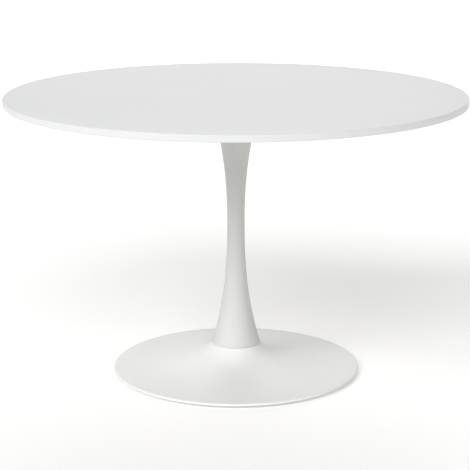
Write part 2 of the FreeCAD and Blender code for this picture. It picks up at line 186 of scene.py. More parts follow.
class FootSettings(bpy.types.PropertyGroup):
    """One levelling foot: a pad and the stud that turns in it."""

    pitch: length("Pitch", "Pitch of the stud's thread", 1.25 * MM)
    stud_radius: length("Stud radius", "Outer radius of the stud's thread", 3.95 * MM)
    collar_radius: length("Collar radius", "Radius of the collar inside the pad", 5.0 * MM)
    neck_radius: length("Neck radius", "Radius of the stud between the pad and the hexagon", 3.0 * MM)
    across_flats: length("Hexagon", "Width of the stud's hexagon across its flats", 13.0 * MM)
    flange_radius: length("Flange", "Radius of the flange that the hexagon is cut from", 8.0 * MM)
    swivel: length("Swivel gap", "Gap that lets the stud turn in the pad", 0.2 * MM)
    pad_floor: length("Pad floor", "Thickness of the pad under the stud", 1.4 * MM)
    pad_lip: length("Pad lip", "Thickness of the lip over the stud's collar", 1.0 * MM)


class FinishSettings(bpy.types.PropertyGroup):
    """Colours of the finishes. The coat of the column and plate is toned darker than the base's coat of the
    same white powder, as painted shade.
    """

    lacquer: hex_colour("Lacquer", "White satin lacquer of the board", "#DADBDB")
    # A guessed sealer, whose tan is also painted shade: it darkens and warms the light bounced onto the
    # column's top.
    sealer: hex_colour("Sealer", "Tan sealer on the board's underside", "#A69E92")
    # Toned darker than the base's coat, though both are one white powder coat: painted shade for the column
    # under the board.
    coat: hex_colour("Powder coat", "White powder coat of the column and plate", "#D0D1CF")
    base_coat: hex_colour("Base powder coat", "White powder coat of the casting", "#E6E7E5")
    zinc: hex_colour("Zinc", "Bright zinc plating", "#C6CACF")
    brass: hex_colour("Brass", "Turned brass", "#D2AE6A")
    nylon: hex_colour("Nylon", "Moulded nylon of the pads", "#A9ABAC")
    gasket: hex_colour("Gasket", "Nylon of the gasket at the joint", "#D5D5D3")


class StageSettings(bpy.types.PropertyGroup):
    """The camera, the lights and the floor, which curves up into a low wall all round."""

    camera_distance: length("Camera distance", "How far in front of the table the camera stands", 4.1643)
    camera_side: length("Camera side step", "How far to the right of the table's centre it stands", -2.5 * MM)
    camera_height: length("Camera height", "Height of the camera above the floor", 1.3877)
    camera_pitch: number("Camera pitch", "How far it looks down", math.radians(13.751), "ROTATION")
    camera_roll: number("Camera roll", "How far it leans", math.radians(-0.052), "ROTATION")
    lens: number("Lens", "Focal length for a 36 mm wide sensor", 124.13, "CAMERA")
    key: number("Key light", "Strength of the wide light from the front left", 1.5)
    fill: number("Fill light", "Strength of the wide light from the front", 1.2)
    rear: number("Rear light", "Strength of the wide light from behind", 0.65)
    light_spread: number("Light spread", "Angle that each wide light fills", math.radians(35), "ROTATION")
    backdrop: number("Backdrop light", "Power over the far floor", 180.0, "POWER")
    backdrop_size: length("Backdrop size", "Side of the square light over the far floor", 8.0)
    sky: number("Sky", "Brightness of the white studio round the table", 0.25)
    floor: hex_colour("Floor", "Pale studio floor", "#F9F9F8")
    floor_glow: number("Floor glow", "Light that the floor gives off itself", 0.15)
    floor_radius: length("Floor radius", "Radius of the floor's flat part", 24.0)
    cove: length("Cove", "Radius of the bend between the floor and the far wall", 3.0)
    wall_height: length("Wall height", "Height of the far wall", 5.0)


class TableSettings(bpy.types.PropertyGroup):
    """All settings of the table."""

    board: PointerProperty(type=BoardSettings)
    plate: PointerProperty(type=PlateSettings)
    column: PointerProperty(type=ColumnSettings)
    base: PointerProperty(type=BaseSettings)
    rod: PointerProperty(type=RodSettings)
    foot: PointerProperty(type=FootSettings)
    finish: PointerProperty(type=FinishSettings)
    stage: PointerProperty(type=StageSettings)


# ---- colours and shader nodes --------------------------------------------------------------------
def linear(hex_value):
    """An sRGB hex colour as linear red, green, blue and alpha."""
    channels = [int(hex_value[i : i + 2], 16) / 255 for i in (1, 3, 5)]
    return [c / 12.92 if c <= 0.04045 else ((c + 0.055) / 1.055) ** 2.4 for c in channels] + [1.0]


def add_node(tree, kind, settings=None, links=None):
    """Adds a shader node, sets its sockets and properties, and links other nodes' outputs into it."""
    node = tree.nodes.new(kind)
    for key, value in (settings or {}).items():
        if isinstance(key, int) or key in node.inputs:
            node.inputs[key].default_value = value
        else:
            setattr(node, key, value)
    for key, output in (links or {}).items():
        tree.links.new(output, node.inputs[key])
    return node


def new_material(name):
    """An empty material with its output, and the coordinates of the piece in metres."""
    material = bpy.data.materials.new(name)
    material.use_nodes = True
    tree = material.node_tree
    tree.nodes.clear()
    place = add_node(tree, "ShaderNodeTexCoord").outputs["Object"]
    return material, tree, place


def noise(tree, place, size, detail=2.0, roughness=0.5):
    """Noise whose blobs are about this many metres across."""
    settings = {"Scale": 1 / size, "Detail": detail, "Roughness": roughness}
    return add_node(tree, "ShaderNodeTexNoise", settings, {"Vector": place}).outputs["Fac"]


def spread(tree, value, low, high):
    """Maps the middle of a noise to a range."""
    settings = {"From Min": 0.3, "From Max": 0.7, "To Min": low, "To Max": high}
    return add_node(tree, "ShaderNodeMapRange", settings, {"Value": value}).outputs["Result"]


def shaded(tree, value, hex_value, darker):
    """A colour that a noise darkens a little in places."""
    colour = linear(hex_value)
    shade = [c * darker for c in colour[:3]] + [1.0]
    mix = add_node(tree, "ShaderNodeMix", {"data_type": "RGBA"}, {"Factor": value})
    mix.inputs[6].default_value = colour
    mix.inputs[7].default_value = shade
    return mix.outputs[2]


def bumped(tree, height, strength, depth, below=None):
    """The normal of a surface that a noise raises by this depth in metres, perhaps over another bump."""
    links = {"Height": height} | ({"Normal": below} if below else {})
    settings = {"Strength": strength, "Distance": depth}
    return add_node(tree, "ShaderNodeBump", settings, links).outputs["Normal"]


def close(tree, settings, **links):
    """Ends a material with its principled shader."""
    sockets = {"colour": "Base Color", "roughness": "Roughness", "normal": "Normal"}
    linked = {sockets[name]: output for name, output in links.items()}
    shader = add_node(tree, "ShaderNodeBsdfPrincipled", settings, linked)
    add_node(tree, "ShaderNodeOutputMaterial", links={"Surface": shader.outputs["BSDF"]})


# ---- finishes ------------------------------------------------------------------------------------
def lacquered_fibreboard(colours):
    """Fibreboard sprayed with white polyurethane lacquer: a satin, very even face with faint orange peel."""
    material, tree, place = new_material("lacquered_fibreboard")
    # Orange peel is about 1.5 mm across. It is drawn at 5 mm, because 1.5 mm is too fine to show.
    normal = bumped(tree, noise(tree, place, 5 * MM, detail=1.0), 0.06, 0.05 * MM)
    cloud = noise(tree, place, 260 * MM, detail=3.0)
    colour, roughness = shaded(tree, cloud, colours.lacquer, 0.985), spread(tree, cloud, 0.36, 0.42)
    settings = {"IOR": 1.48, "Specular IOR Level": 0.3}
    close(tree, settings, colour=colour, roughness=roughness, normal=normal)
    return material


def sealed_fibreboard_painted_shade(colours):
    """Fibreboard under one thin coat of clear sealer: tan and matt, speckled by its pressed fibres. The tan
    is also painted shade: less and warmer light bounces from it onto the column's top.
    """
    material, tree, place = new_material("sealed_fibreboard_painted_shade")
    # The fibres are about 0.5 mm long. They are drawn as 2 mm flecks, so that they show.
    flecks = noise(tree, place, 2 * MM, detail=4.0, roughness=0.7)
    normal = bumped(tree, flecks, 0.15, 0.05 * MM)
    colour, roughness = shaded(tree, flecks, colours.sealer, 0.82), spread(tree, flecks, 0.6, 0.75)
    close(tree, {"IOR": 1.48}, colour=colour, roughness=roughness, normal=normal)
    return material


def coated_spun_steel(colours):
    """Spun steel under a baked white powder coat: half matt, with a fine pebbled skin."""
    material, tree, place = new_material("coated_spun_steel")
    # The pebbling of a smooth powder coat is about 0.8 mm across. It is drawn at 3 mm, so that it shows.
    normal = bumped(tree, noise(tree, place, 3 * MM, detail=2.0), 0.10, 0.06 * MM)
    cloud = noise(tree, place, 90 * MM, detail=3.0)
    # The coat colour is toned darker than the white powder really is, as painted shade of the column under
    # the board.
    colour, roughness = shaded(tree, cloud, colours.coat, 0.98), spread(tree, cloud, 0.58, 0.66)
    close(tree, {"IOR": 1.5}, colour=colour, roughness=roughness, normal=normal)
    return material


def coated_cast_iron(colours):
    """Sand-cast iron, ground and powder coated: matt, with a pebbled skin over the casting's slow waves."""
    material, tree, place = new_material("coated_cast_iron")
    # The same powder coat, but thicker over the casting's grain. It is drawn at 4 mm, so that it shows.
    pebble = noise(tree, place, 4 * MM, detail=3.0)
    waves = bumped(tree, noise(tree, place, 45 * MM, detail=1.0), 0.12, 0.5 * MM)
    normal = bumped(tree, pebble, 0.16, 0.08 * MM, below=waves)
    cloud = noise(tree, place, 120 * MM, detail=4.0)
    colour, roughness = shaded(tree, cloud, colours.base_coat, 0.975), spread(tree, cloud, 0.55, 0.65)
    close(tree, {"IOR": 1.5}, colour=colour, roughness=roughness, normal=normal)
    return material


def bright_zinc_plate(colours):
    """Turned or rolled steel with bright zinc plating: a grey metal with a mottled sheen."""
    material, tree, place = new_material("bright_zinc_plate")
    mottle = noise(tree, place, 2.5 * MM, detail=4.0)
    normal = bumped(tree, mottle, 0.15, 0.03 * MM)
    colour, roughness = shaded(tree, mottle, colours.zinc, 0.84), spread(tree, mottle, 0.24, 0.40)
    close(tree, {"Metallic": 1.0}, colour=colour, roughness=roughness, normal=normal)
    return material


def turned_brass(colours):
    """Brass turned from bar: warm and bright, with fine tool marks round it."""
    material, tree, place = new_material("turned_brass")
    settings = {"wave_type": "BANDS", "bands_direction": "Z", "Scale": 1 / (12 * MM), "Distortion": 0.6}
    marks = add_node(tree, "ShaderNodeTexWave", settings, {"Vector": place}).outputs["Fac"]
    normal = bumped(tree, marks, 0.2, 0.03 * MM)
    colour, roughness = shaded(tree, marks, colours.brass, 0.9), spread(tree, marks, 0.25, 0.38)
    close(tree, {"Metallic": 1.0}, colour=colour, roughness=roughness, normal=normal)
    return material


def moulded_nylon(hex_value):
    """Injection-moulded nylon: waxy and half matt, from a finely spark-eroded mould."""
    material, tree, place = new_material("moulded_nylon")
    grain = noise(tree, place, 0.9 * MM, detail=3.0)
    normal = bumped(tree, grain, 0.2, 0.04 * MM)
    colour, roughness = shaded(tree, grain, hex_value, 0.94), spread(tree, grain, 0.42, 0.58)
    settings = {"IOR": 1.53, "Subsurface Weight": 0.1, "Subsurface Scale": 1.0 * MM}
    close(tree, settings, colour=colour, roughness=roughness, normal=normal)
    return material


def pad_nylon(colours):
    """The grey nylon of the pads under the feet."""
    return moulded_nylon(colours.nylon)


def gasket_nylon(colours):
    """The pale nylon of the gasket at the joint."""
    return moulded_nylon(colours.gasket)


# The material made for each finish, kept so that it is made once.
materials = {}


def material_of(finish):
    """The material of that finish, made the first time that it is asked for."""
    if finish not in materials:
        materials[finish] = finish(bpy.context.scene.table.finish)
    return materials[finish]


# ---- shapes --------------------------------------------------------------------------------------
def softened(corners, steps=5):
    """Points round a closed section of (radius, height, rounding) corners, with arcs at rounded ones."""
    points = []
    for before, corner, after in zip(corners[-1:] + corners[:-1], corners, corners[1:] + corners[:1]):
        place = Vector(corner[:2])
        if not corner[2]:
            points.append(place)
            continue
        back = (Vector(before[:2]) - place).normalized()
        ahead = (Vector(after[:2]) - place).normalized()
        half = back.angle(ahead) / 2
        middle = place + (back + ahead).normalized() * corner[2] / math.sin(half)
        start = place + back * corner[2] / math.tan(half) - middle
        end = place + ahead * corner[2] / math.tan(half) - middle
        points += [middle + start.slerp(end, k / steps) * corner[2] for k in range(steps + 1)]
    return points


def sharp(points):
    """Plain points as corners without rounding."""
    return [(radius, height, 0.0) for radius, height in points]


def lathe(section, segments=96, shape=None):
    """A turned solid: a closed section of (radius, height) points swept round the Z axis.

    shape(radius, height, turn) may change a point's radius, for a thread or a knurl.
    """
    mesh = bmesh.new()
    turns = [TURN * k / segments for k in range(segments)]
    rings = []
    for radius, height in section:
        if radius < ON_AXIS:
            rings.append([mesh.verts.new((0, 0, height))])
            continue
        radii = [shape(radius, height, turn) if shape else radius for turn in turns]
        places = [(r * math.cos(turn), r * math.sin(turn), height) for r, turn in zip(radii, turns)]
        rings.append([mesh.verts.new(place) for place in places])
    for ring, following in zip(rings, rings[1:] + rings[:1]):
        if len(ring) == len(following) == 1:
            continue
        for k in range(segments):
            n = (k + 1) % segments
            corners = [ring[k % len(ring)], ring[n % len(ring)]]
            corners += [following[n % len(following)], following[k % len(following)]]
            mesh.faces.new(dict.fromkeys(corners))
    bmesh.ops.recalc_face_normals(mesh, faces=mesh.faces)
    return mesh


def bar(radius, low, high, segments=32):
    """A plain round bar, to cut a hole with."""
    return lathe([(0, low), (radius, low), (radius, high), (0, high)], segments=segments)


def skin(mesh, rings):
    """Closes the gaps between rings that have equally many corners."""
    for ring, following in zip(rings[:-1], rings[1:]):
        for k, corner in enumerate(ring):
            n = (k + 1) % len(ring)
            mesh.faces.new((corner, following[k], following[n], ring[n]))


def hexagon_corner(across_flats):
    """Radius of a hexagon's corners."""
    return across_flats / 2 / math.cos(TURN / 12)


def prism(across_flats, low, high):
    """A hexagonal bar with two flats facing +X and -X."""
    mesh = bmesh.new()
    corner = hexagon_corner(across_flats)
    turns = [TURN * (k + 0.5) / 6 for k in range(6)]
    outline = [(corner * math.cos(turn), corner * math.sin(turn)) for turn in turns]
    rings = [[mesh.verts.new((x, y, height)) for x, y in outline] for height in (low, high)]
    mesh.faces.new(rings[0])
    mesh.faces.new(rings[1])
    skin(mesh, rings)
    bmesh.ops.recalc_face_normals(mesh, faces=mesh.faces)
    return mesh


def copies(mesh, places):
    """Several copies of one solid in one mesh, each moved to its place. The first solid is used up."""
    data = bpy.data.meshes.new("copied")
    mesh.to_mesh(data)
    mesh.free()
    together = bmesh.new()
    for x, y in places:
        before = len(together.verts)
        together.from_mesh(data)
        together.verts.ensure_lookup_table()
        bmesh.ops.translate(together, verts=together.verts[before:], vec=(x, y, 0))
    bpy.data.meshes.remove(data)
    return together


def around(count, radius):
    """Evenly spaced places on a circle, the first on +X."""
    return [(radius * math.cos(TURN * k / count), radius * math.sin(TURN * k / count)) for k in range(count)]


def solid(mesh, name):
    """An object from a mesh under construction, which it uses up."""
    data = bpy.data.meshes.new(name)
    mesh.to_mesh(data)
    mesh.free()
    made = bpy.data.objects.new(name, data)
    bpy.context.scene.collection.objects.link(made)
    return made


def combine(kept, mesh, operation):
    """Joins a second solid to an object, cuts it out of it, or keeps what both fill."""
    other = solid(mesh, "other")
    modifier = kept.modifiers.new("combine", "BOOLEAN")
    modifier.operation = operation
    modifier.solver = "EXACT"
    modifier.object = other
    ready = kept.evaluated_get(bpy.context.evaluated_depsgraph_get())
    result = bpy.data.meshes.new_from_object(ready)
    # Corners that the cut leaves closer than SAME_POINT become one, so that no sliver of a face is left.
    cleaned = bmesh.new()
    cleaned.from_mesh(result)
    bmesh.ops.remove_doubles(cleaned, verts=cleaned.verts, dist=SAME_POINT)
    bmesh.ops.dissolve_degenerate(cleaned, edges=cleaned.edges, dist=SAME_POINT)
    cleaned.to_mesh(result)
    cleaned.free()
    kept.modifiers.clear()
    replaced, used = kept.data, other.data
    kept.data = result
    result.name = kept.name
    bpy.data.objects.remove(other)
    bpy.data.meshes.remove(replaced)
    bpy.data.meshes.remove(used)


def settle(piece, finish, *nodes, body="table"):
    """Gives a finished piece its shading and material, and puts it on its body in place of frame nodes."""
    piece.data.materials.clear()
    piece.data.materials.append(material_of(finish))
    piece.data.shade_smooth()
    piece.data.set_sharp_from_angle(angle=SHARP_EDGE)
    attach(piece, body)
    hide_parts(*nodes)


def threaded(major, pitch, low, high):
    """How a metric thread cuts into a turned surface of that radius between two heights."""
    # A metric thread is 0.61 of its pitch deep. Its flat crest is an eighth of the pitch wide.
    depth = 0.61 * pitch
    crest, flank = 0.125, 0.3125

    def shape(radius, height, turn):
        if abs(radius - major) > SAME_RADIUS or not low <= height <= high:
            return radius
        phase = abs((height / pitch - turn / TURN) % 1.0 - 0.5) * 2
        return radius - depth * min(1.0, max(0.0, (1.0 - crest - phase) / (2 * flank)))

    return shape


def thread_rows(radius, pitch, low, high, rows=8):
    """Section points up a thread, close enough together to carry its shape."""
    count = round((high - low) / pitch * rows)
    return [(radius, low + (high - low) * k / count) for k in range(1, count)]


# ---- outlines ------------------------------------------------------------------------------------
def column_radius(column, height):
    """Outer radius of the column: narrow at the waist, flaring like a trumpet to both ends."""
    bottom, top = reach("column_shell")[1:]
    above = height >= column.waist_height
    end_height = top if above else bottom
    end_radius = column.head_radius if above else column.foot_radius
    share = abs(height - column.waist_height) / abs(end_height - column.waist_height)
    flare = column.head_flare if above else column.foot_flare
    return column.waist_radius + (end_radius - column.waist_radius) * share**flare


def base_rise(base):
    """The height of the rim's upper edge, and how much the curve from there to the neck rises in all."""
    neck_radius = bpy.context.scene.table.column.foot_radius
    return base.standoff + base.rim, (base.radius / neck_radius) ** base.flare - 1


def base_height(base, radius):
    """Height of the base's upper face: nearly flat at the rim, rising like a trumpet to the neck."""
    rim_top, whole_rise = base_rise(base)
    rise = (base.radius / radius) ** base.flare - 1
    return rim_top + (base.neck_height - rim_top) * rise / whole_rise


def base_radius_at(base, height):
    """Radius where the base's upper face has that height."""
    rim_top, whole_rise = base_rise(base)
    rise = whole_rise * (height - rim_top) / (base.neck_height - rim_top)
    return base.radius / (1 + rise) ** (1 / base.flare)


def base_face(base, start, end, drop, steps):
    """Points out along the base, this far below its upper face, closer together towards the neck."""
    radii = [start * (end / start) ** (k / steps) for k in range(steps + 1)]
    return [(r, base_height(base, r) - drop) for r in radii]


def screw_places(plate):
    return around(plate.screw_count, plate.radius - plate.screw_inset)


def foot_places(base):
    return around(base.feet, base.radius - base.foot_inset)


# ---- operators -----------------------------------------------------------------------------------
class TABLE_OT_board(bpy.types.Operator):
    """Add the round lacquered top"""

    bl_idname = "table.board"
    bl_label = "Board"

    def execute(self, context):
        table = context.scene.table
        board = table.board
        flats = [board.radius * k / 6 for k in range(1, 6)]
        section = [(0.0, board.underside, 0.0), *((r, board.underside, 0.0) for r in flats)]
        section += [(board.radius, board.underside, board.lower_round)]
        section += [(board.radius, board.surface, board.upper_round)]
        section += [*((r, board.surface, 0.0) for r in reversed(flats)), (0.0, board.surface, 0.0)]
        piece = solid(lathe(softened(section, steps=8), segments=360), "board")
        drill_point = 0.5 * MM
        low, high = board.underside - OVERCUT, board.underside + board.insert_length + drill_point
        radius = board.insert_radius
        hole = [(0, low), (radius, low), (radius, high), (0, high + drill_point)]
        combine(piece, copies(lathe(hole, segments=32), screw_places(table.plate)), "DIFFERENCE")
        settle(piece, lacquered_fibreboard, "table_top")
        # The downward faces get the tan sealer, which is partly painted shade for the column's top.
        piece.data.materials.append(material_of(sealed_fibreboard_painted_shade))
        for face in piece.data.polygons:
            if face.normal.z < FACING_DOWN:
                face.material_index = 1
        return {"FINISHED"}


class TABLE_OT_inserts(bpy.types.Operator):
    """Add the knurled brass inserts in the board"""

    bl_idname = "table.inserts"
    bl_label = "Threaded inserts"

    def execute(self, context):
        table = context.scene.table
        outer = table.board.insert_radius - FIT_GAP
        bore = table.plate.screw_radius + 0.05 * MM
        low, high = table.board.underside, table.board.underside + table.board.insert_length
        middle, waist = (low + high) / 2, outer - 0.8 * MM
        knurls, knurl_depth = 24, 0.25 * MM
        lower_bevel, upper_bevel, waist_half, waist_slope = 0.4 * MM, 0.8 * MM, 0.6 * MM, 0.4 * MM

        def knurled(radius, height, turn):
            if abs(radius - outer) > SAME_RADIUS:
                return radius
            return radius - knurl_depth * (1 - math.cos(knurls * turn)) / 2

        upper = [(waist, middle + waist_half), (outer, middle + waist_half + waist_slope)]
        upper += [(outer, high - upper_bevel), (outer - upper_bevel, high), (bore, high)]
        lower = [(outer, middle - waist_half - waist_slope), (waist, middle - waist_half)]
        lower = [(bore, low), (outer - lower_bevel, low), (outer, low + lower_bevel), *lower]
        section = lower + upper
        mesh = copies(lathe(section, segments=knurls * 4, shape=knurled), screw_places(table.plate))
        settle(solid(mesh, "knurled_inserts"), turned_brass, "top_inserts")
        return {"FINISHED"}


class TABLE_OT_plate(bpy.types.Operator):
    """Add the steel mounting plate with its collar and boss"""

    bl_idname = "table.plate"
    bl_label = "Mounting plate"

    def execute(self, context):
        table = context.scene.table
        plate = table.plate
        radius, low, high = reach("mounting_plate")
        bore = plate.boss_radius + FIT_GAP
        section = [(bore, low, 0.0), (radius, low, 1.0 * MM), (radius, high, 0.4 * MM), (bore, high, 0.0)]
        piece = solid(lathe(softened(section), segments=256), "plate")
        drill = bar(plate.hole_radius, low - OVERCUT, high + OVERCUT)
        combine(piece, copies(drill, screw_places(plate)), "DIFFERENCE")
        settle(piece, coated_spun_steel, "mounting_plate")
        self.welded_ring("collar", "centring_collar", plate.collar_wall, rounding=0.8 * MM)
        boss_wall = plate.boss_radius - table.rod.nut_bore
        self.welded_ring("rod_boss", "tie_rod_boss", boss_wall, rounding=1.0 * MM)
        return {"FINISHED"}

    def welded_ring(self, name, node, wall, rounding):
        """A turned ring welded to the plate, with its lower edges rounded."""
        radius, low, high = reach(node)
        section = [(radius - wall, low, rounding), (radius, low, rounding), (radius, high, 0.0)]
        section += [(radius - wall, high, 0.0)]
        piece = solid(lathe(softened(section), segments=128), name)
        settle(piece, coated_spun_steel, node)


class TABLE_OT_screws(bpy.types.Operator):
    """Add the button-head screws and washers that hold the plate"""

    bl_idname = "table.screws"
    bl_label = "Screws and washers"

    def execute(self, context):
        plate = context.scene.table.plate
        places = screw_places(plate)
        washer_low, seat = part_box("plate_washers")[0].z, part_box("plate_washers")[1].z
        head_low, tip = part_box("plate_screws")[0].z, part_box("plate_screws")[1].z
        screw = solid(self.screw(plate, head_low, washer_low, tip), "screw")
        socket = prism(plate.socket, head_low - OVERCUT, head_low + plate.socket_depth)
        combine(screw, socket, "DIFFERENCE")
        single = bmesh.new()
        single.from_mesh(screw.data)
        bpy.data.objects.remove(screw)
        screws = solid(copies(single, places), "button_screws")
        settle(screws, bright_zinc_plate, "plate_screws")
        washer_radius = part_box("plate_washers")[1].x - places[0][0]
        bore = plate.screw_radius + 0.3 * MM
        section = [(bore, washer_low, 0.15 * MM), (washer_radius, washer_low, 0.35 * MM)]
        section += [(washer_radius, seat, 0.15 * MM), (bore, seat, 0.15 * MM)]
        washers = solid(copies(lathe(softened(section), segments=64), places), "flat_washers")
        settle(washers, bright_zinc_plate, "plate_washers")
        return {"FINISHED"}

    def screw(self, plate, head_low, seat, tip):
        """A button-head screw before its socket is cut: a domed head and a threaded shank."""
        shank, pitch = plate.screw_radius, plate.screw_pitch
        crown, bevel = 0.5 * plate.head_radius, 0.8 * MM
        dome = [(crown, head_low, 1.2 * MM), (plate.head_radius - 0.5 * MM, seat - 1.5 * MM, 2.0 * MM)]
        head = [(0.0, head_low, 0.0), *dome, (plate.head_radius, seat, 0.2 * MM), (shank, seat, 0.0)]
        low, high = seat + 0.5 * MM, tip - bevel
        thread = [(shank, low, 0.0), *sharp(thread_rows(shank, pitch, low, high)), (shank, high, 0.0)]
        end = [(shank - bevel, tip, 0.0), (0.0, tip, 0.0)]
        return lathe(softened(head + thread + end), segments=32, shape=threaded(shank, pitch, low, high))


class TABLE_OT_column(bpy.types.Operator):
    """Add the trumpet column with the rings inside its ends"""

    bl_idname = "table.column"
    bl_label = "Column"

    def execute(self, context):
        table = context.scene.table
        column = table.column
        bottom, top = reach("column_shell")[1:]
        rows = 120
        heights = [bottom + (top - bottom) * k / rows for k in range(rows + 1)]
        outer = [(column_radius(column, z), z, 0.0) for z in heights]
        inner = [(r - column.wall, z, 0.0) for r, z, _ in reversed(outer)]
        outer[0] = (*outer[0][:2], column.edge_break)
        piece = solid(lathe(softened(outer + inner), segments=256), "column")
        settle(piece, coated_spun_steel, "column_shell")
        collar = reach("centring_collar")[0]
        self.end_ring(column, "head_ring", "column_head_ring", collar + column.ring_gap)
        self.end_ring(column, "foot_ring", "column_foot_ring", table.base.spigot_radius + column.ring_gap)
        return {"FINISHED"}

    def end_ring(self, column, name, node, bore):
        """A ring that fills the column's end down to its bore, following the wall's slope."""
        low, high = reach(node)[1:]
        rows, bevel = 6, 0.6 * MM
        heights = [low + (high - low) * k / rows for k in range(rows + 1)]
        wall = [(column_radius(column, z) - column.wall, z) for z in heights]
        bored = [(bore + bevel, high), (bore, high - bevel), (bore, low + bevel), (bore + bevel, low)]
        ring = lathe(wall + bored, segments=128)
        settle(solid(ring, name), coated_spun_steel, node)


class TABLE_OT_joint(bpy.types.Operator):
    """Add the gasket and the dowel pins between the column and the base"""

    bl_idname = "table.joint"
    bl_label = "Column joint"

    def execute(self, context):
        table = context.scene.table
        radius, low, high = reach("joint_gasket")
        bore = table.base.spigot_radius + table.column.ring_gap
        pin_low, pin_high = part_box("locating_pins")[0].z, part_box("locating_pins")[1].z
        pin_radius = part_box("locating_pins")[1].y
        pin_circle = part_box("locating_pins")[1].x - pin_radius
        edge = 0.3 * MM
        section = [(bore, low, 0.0), (radius, low, edge), (radius, high, edge), (bore, high, 0.0)]
        gasket = solid(lathe(softened(section), segments=256), "gasket")
        drill = bar(pin_radius + FIT_GAP, low - OVERCUT, high + OVERCUT)
        combine(gasket, copies(drill, around(2, pin_circle)), "DIFFERENCE")
        settle(gasket, gasket_nylon, "joint_gasket")
        bevel = 0.6 * MM
        section = [(0.0, pin_low, 0.0), (pin_radius, pin_low, bevel), (pin_radius, pin_high, bevel)]
        section += [(0.0, pin_high, 0.0)]
        pins = solid(copies(lathe(softened(section), segments=48), around(2, pin_circle)), "dowel_pins")
        settle(pins, bright_zinc_plate, "locating_pins")
        return {"FINISHED"}


class TABLE_OT_base(bpy.types.Operator):
    """Add the cast base with its ribs, hub and bosses"""

    bl_idname = "table.base"
    bl_label = "Base"

    def execute(self, context):
        base = context.scene.table.base
        piece = solid(lathe(softened(self.section(base)), segments=256), "base")
        ribs = bmesh.new()
        for k in range(base.feet):
            self.add_rib(ribs, base, TURN * k / base.feet)
        combine(piece, ribs, "UNION")
        combine(piece, copies(self.boss(base), foot_places(base)), "UNION")
        combine(piece, copies(self.drilled_hole(base), foot_places(base)), "DIFFERENCE")
        settle(piece, coated_cast_iron, "base_casting")
        return {"FINISHED"}

    def section(self, base):
        """The casting's closed section, without its ribs and bosses."""
        neck_radius = bpy.context.scene.table.column.foot_radius
        bore, hub = base.rod_hole, base.hub_radius
        hub_low, deck_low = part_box("tie_rod_washer")[1].z, base.neck_height - base.deck
        shoulder = base_radius_at(base, deck_low + base.wall)
        land = base.radius - base.rim_land
        roof = base_face(base, shoulder, land, base.wall, steps=48)
        face = base_face(base, neck_radius, base.radius - 2 * base.rim_round, 0.0, steps=90)
        spigot, spigot_top = base.spigot_radius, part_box("base_casting")[1].z
        recess, recess_low = spigot - base.spigot_wall, base.neck_height + base.recess_floor
        section = [(bore, hub_low, 0.5 * MM), (hub, hub_low, 1.5 * MM), (hub, deck_low, 4 * MM)]
        section += [(*roof[0], 3.0 * MM), *sharp(roof[1:]), (land, base.standoff, 0.3 * MM)]
        section += [(base.radius, base.standoff, 1.0 * MM)]
        section += [(base.radius, base.standoff + base.rim, base.rim_round)]
        section += [*sharp(reversed(face[1:])), (*face[0], 0.6 * MM)]
        section += [(spigot, base.neck_height, 0.2 * MM), (spigot, spigot_top, 1.0 * MM)]
        section += [(recess, spigot_top, 1.0 * MM), (recess, recess_low, 1.5 * MM)]
        return [*section, (bore, recess_low, 0.5 * MM)]

    def add_rib(self, mesh, base, turn):
        """Adds one rib from the hub to a foot: rounded along its bottom, flaring into the wall above it."""
        hub_low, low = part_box("tie_rod_washer")[1].z, base.standoff + base.rib_rise
        deck_low = base.neck_height - base.deck
        shoulder = base_radius_at(base, deck_low + base.wall)
        start, end = base.hub_radius - 1.0 * MM, base.radius - base.foot_inset
        slope = (hub_low - low) / (base.knee_radius - start)
        least, steps = 1.0 * MM, 40
        rings = []
        for k in range(steps + 1):
            radius = start + (end - start) * (k / steps) ** 1.5
            # The knee is a smooth bend between the steep part at the hub and the low part.
            fall = slope * (base.knee_radius - radius)
            bottom = low + (fall + math.hypot(fall, base.knee_bend)) / 2
            roof = deck_low if radius < shoulder else base_height(base, radius) - base.wall
            rings.append(self.rib_ring(mesh, base, radius, min(bottom, roof - least), roof))
        skin(mesh, rings)
        mesh.faces.new(rings[0])
        mesh.faces.new(rings[-1])
        made = [corner for ring in rings for corner in ring]
        bmesh.ops.rotate(mesh, verts=made, cent=(0, 0, 0), matrix=Matrix.Rotation(turn, 3, "Z"))
        bmesh.ops.recalc_face_normals(mesh, faces=mesh.faces)

    def rib_ring(self, mesh, base, radius, bottom, roof):
        """The rib's outline at one radius."""
        half = base.rib_thickness / 2
        fillet = min(base.fillet, 0.5 * (roof - bottom))
        edge = min(1.2 * MM, 0.4 * (roof - bottom))
        flare, sunk, steps = math.radians(75), 1.0 * MM, 4
        side = [(half + fillet * (1 - math.cos(flare)), roof + sunk)]
        for k in range(steps + 1):
            angle = flare * (1 - k / steps)
            side.append((half + fillet * (1 - math.cos(angle)), roof - fillet * (1 - math.sin(angle))))
        for k in range(steps + 1):
            angle = math.radians(90) * k / steps
            side.append((half - edge * (1 - math.cos(angle)), bottom + edge * (1 - math.sin(angle))))
        outline = side + [(-across, height) for across, height in reversed(side)]
        return [mesh.verts.new((radius, across, height)) for across, height in outline]

    def boss_top(self, base):
        """Height where a foot's boss and its hole end, under the base's upper face."""
        return base_height(base, base.radius - base.foot_inset) - base.boss_cover

    def boss(self, base):
        """The round boss over one levelling foot."""
        radius, low, high = base.boss_radius, base.standoff, self.boss_top(base)
        section = [(0.0, low, 0.0), (radius, low, 1.0 * MM), (radius, high, 0.0), (0.0, high, 0.0)]
        return lathe(softened(section), segments=64)

    def drilled_hole(self, base):
        """What the drill takes out for one stud, with a chamfer at the hole's mouth."""
        radius, low, high = base.stud_hole, base.standoff, self.boss_top(base)
        mouth, chamfer = low - OVERCUT, 0.6 * MM
        section = [(0, mouth), (radius + chamfer + OVERCUT, mouth), (radius, low + chamfer)]
        return lathe([*section, (radius, high), (0, high)], segments=48)


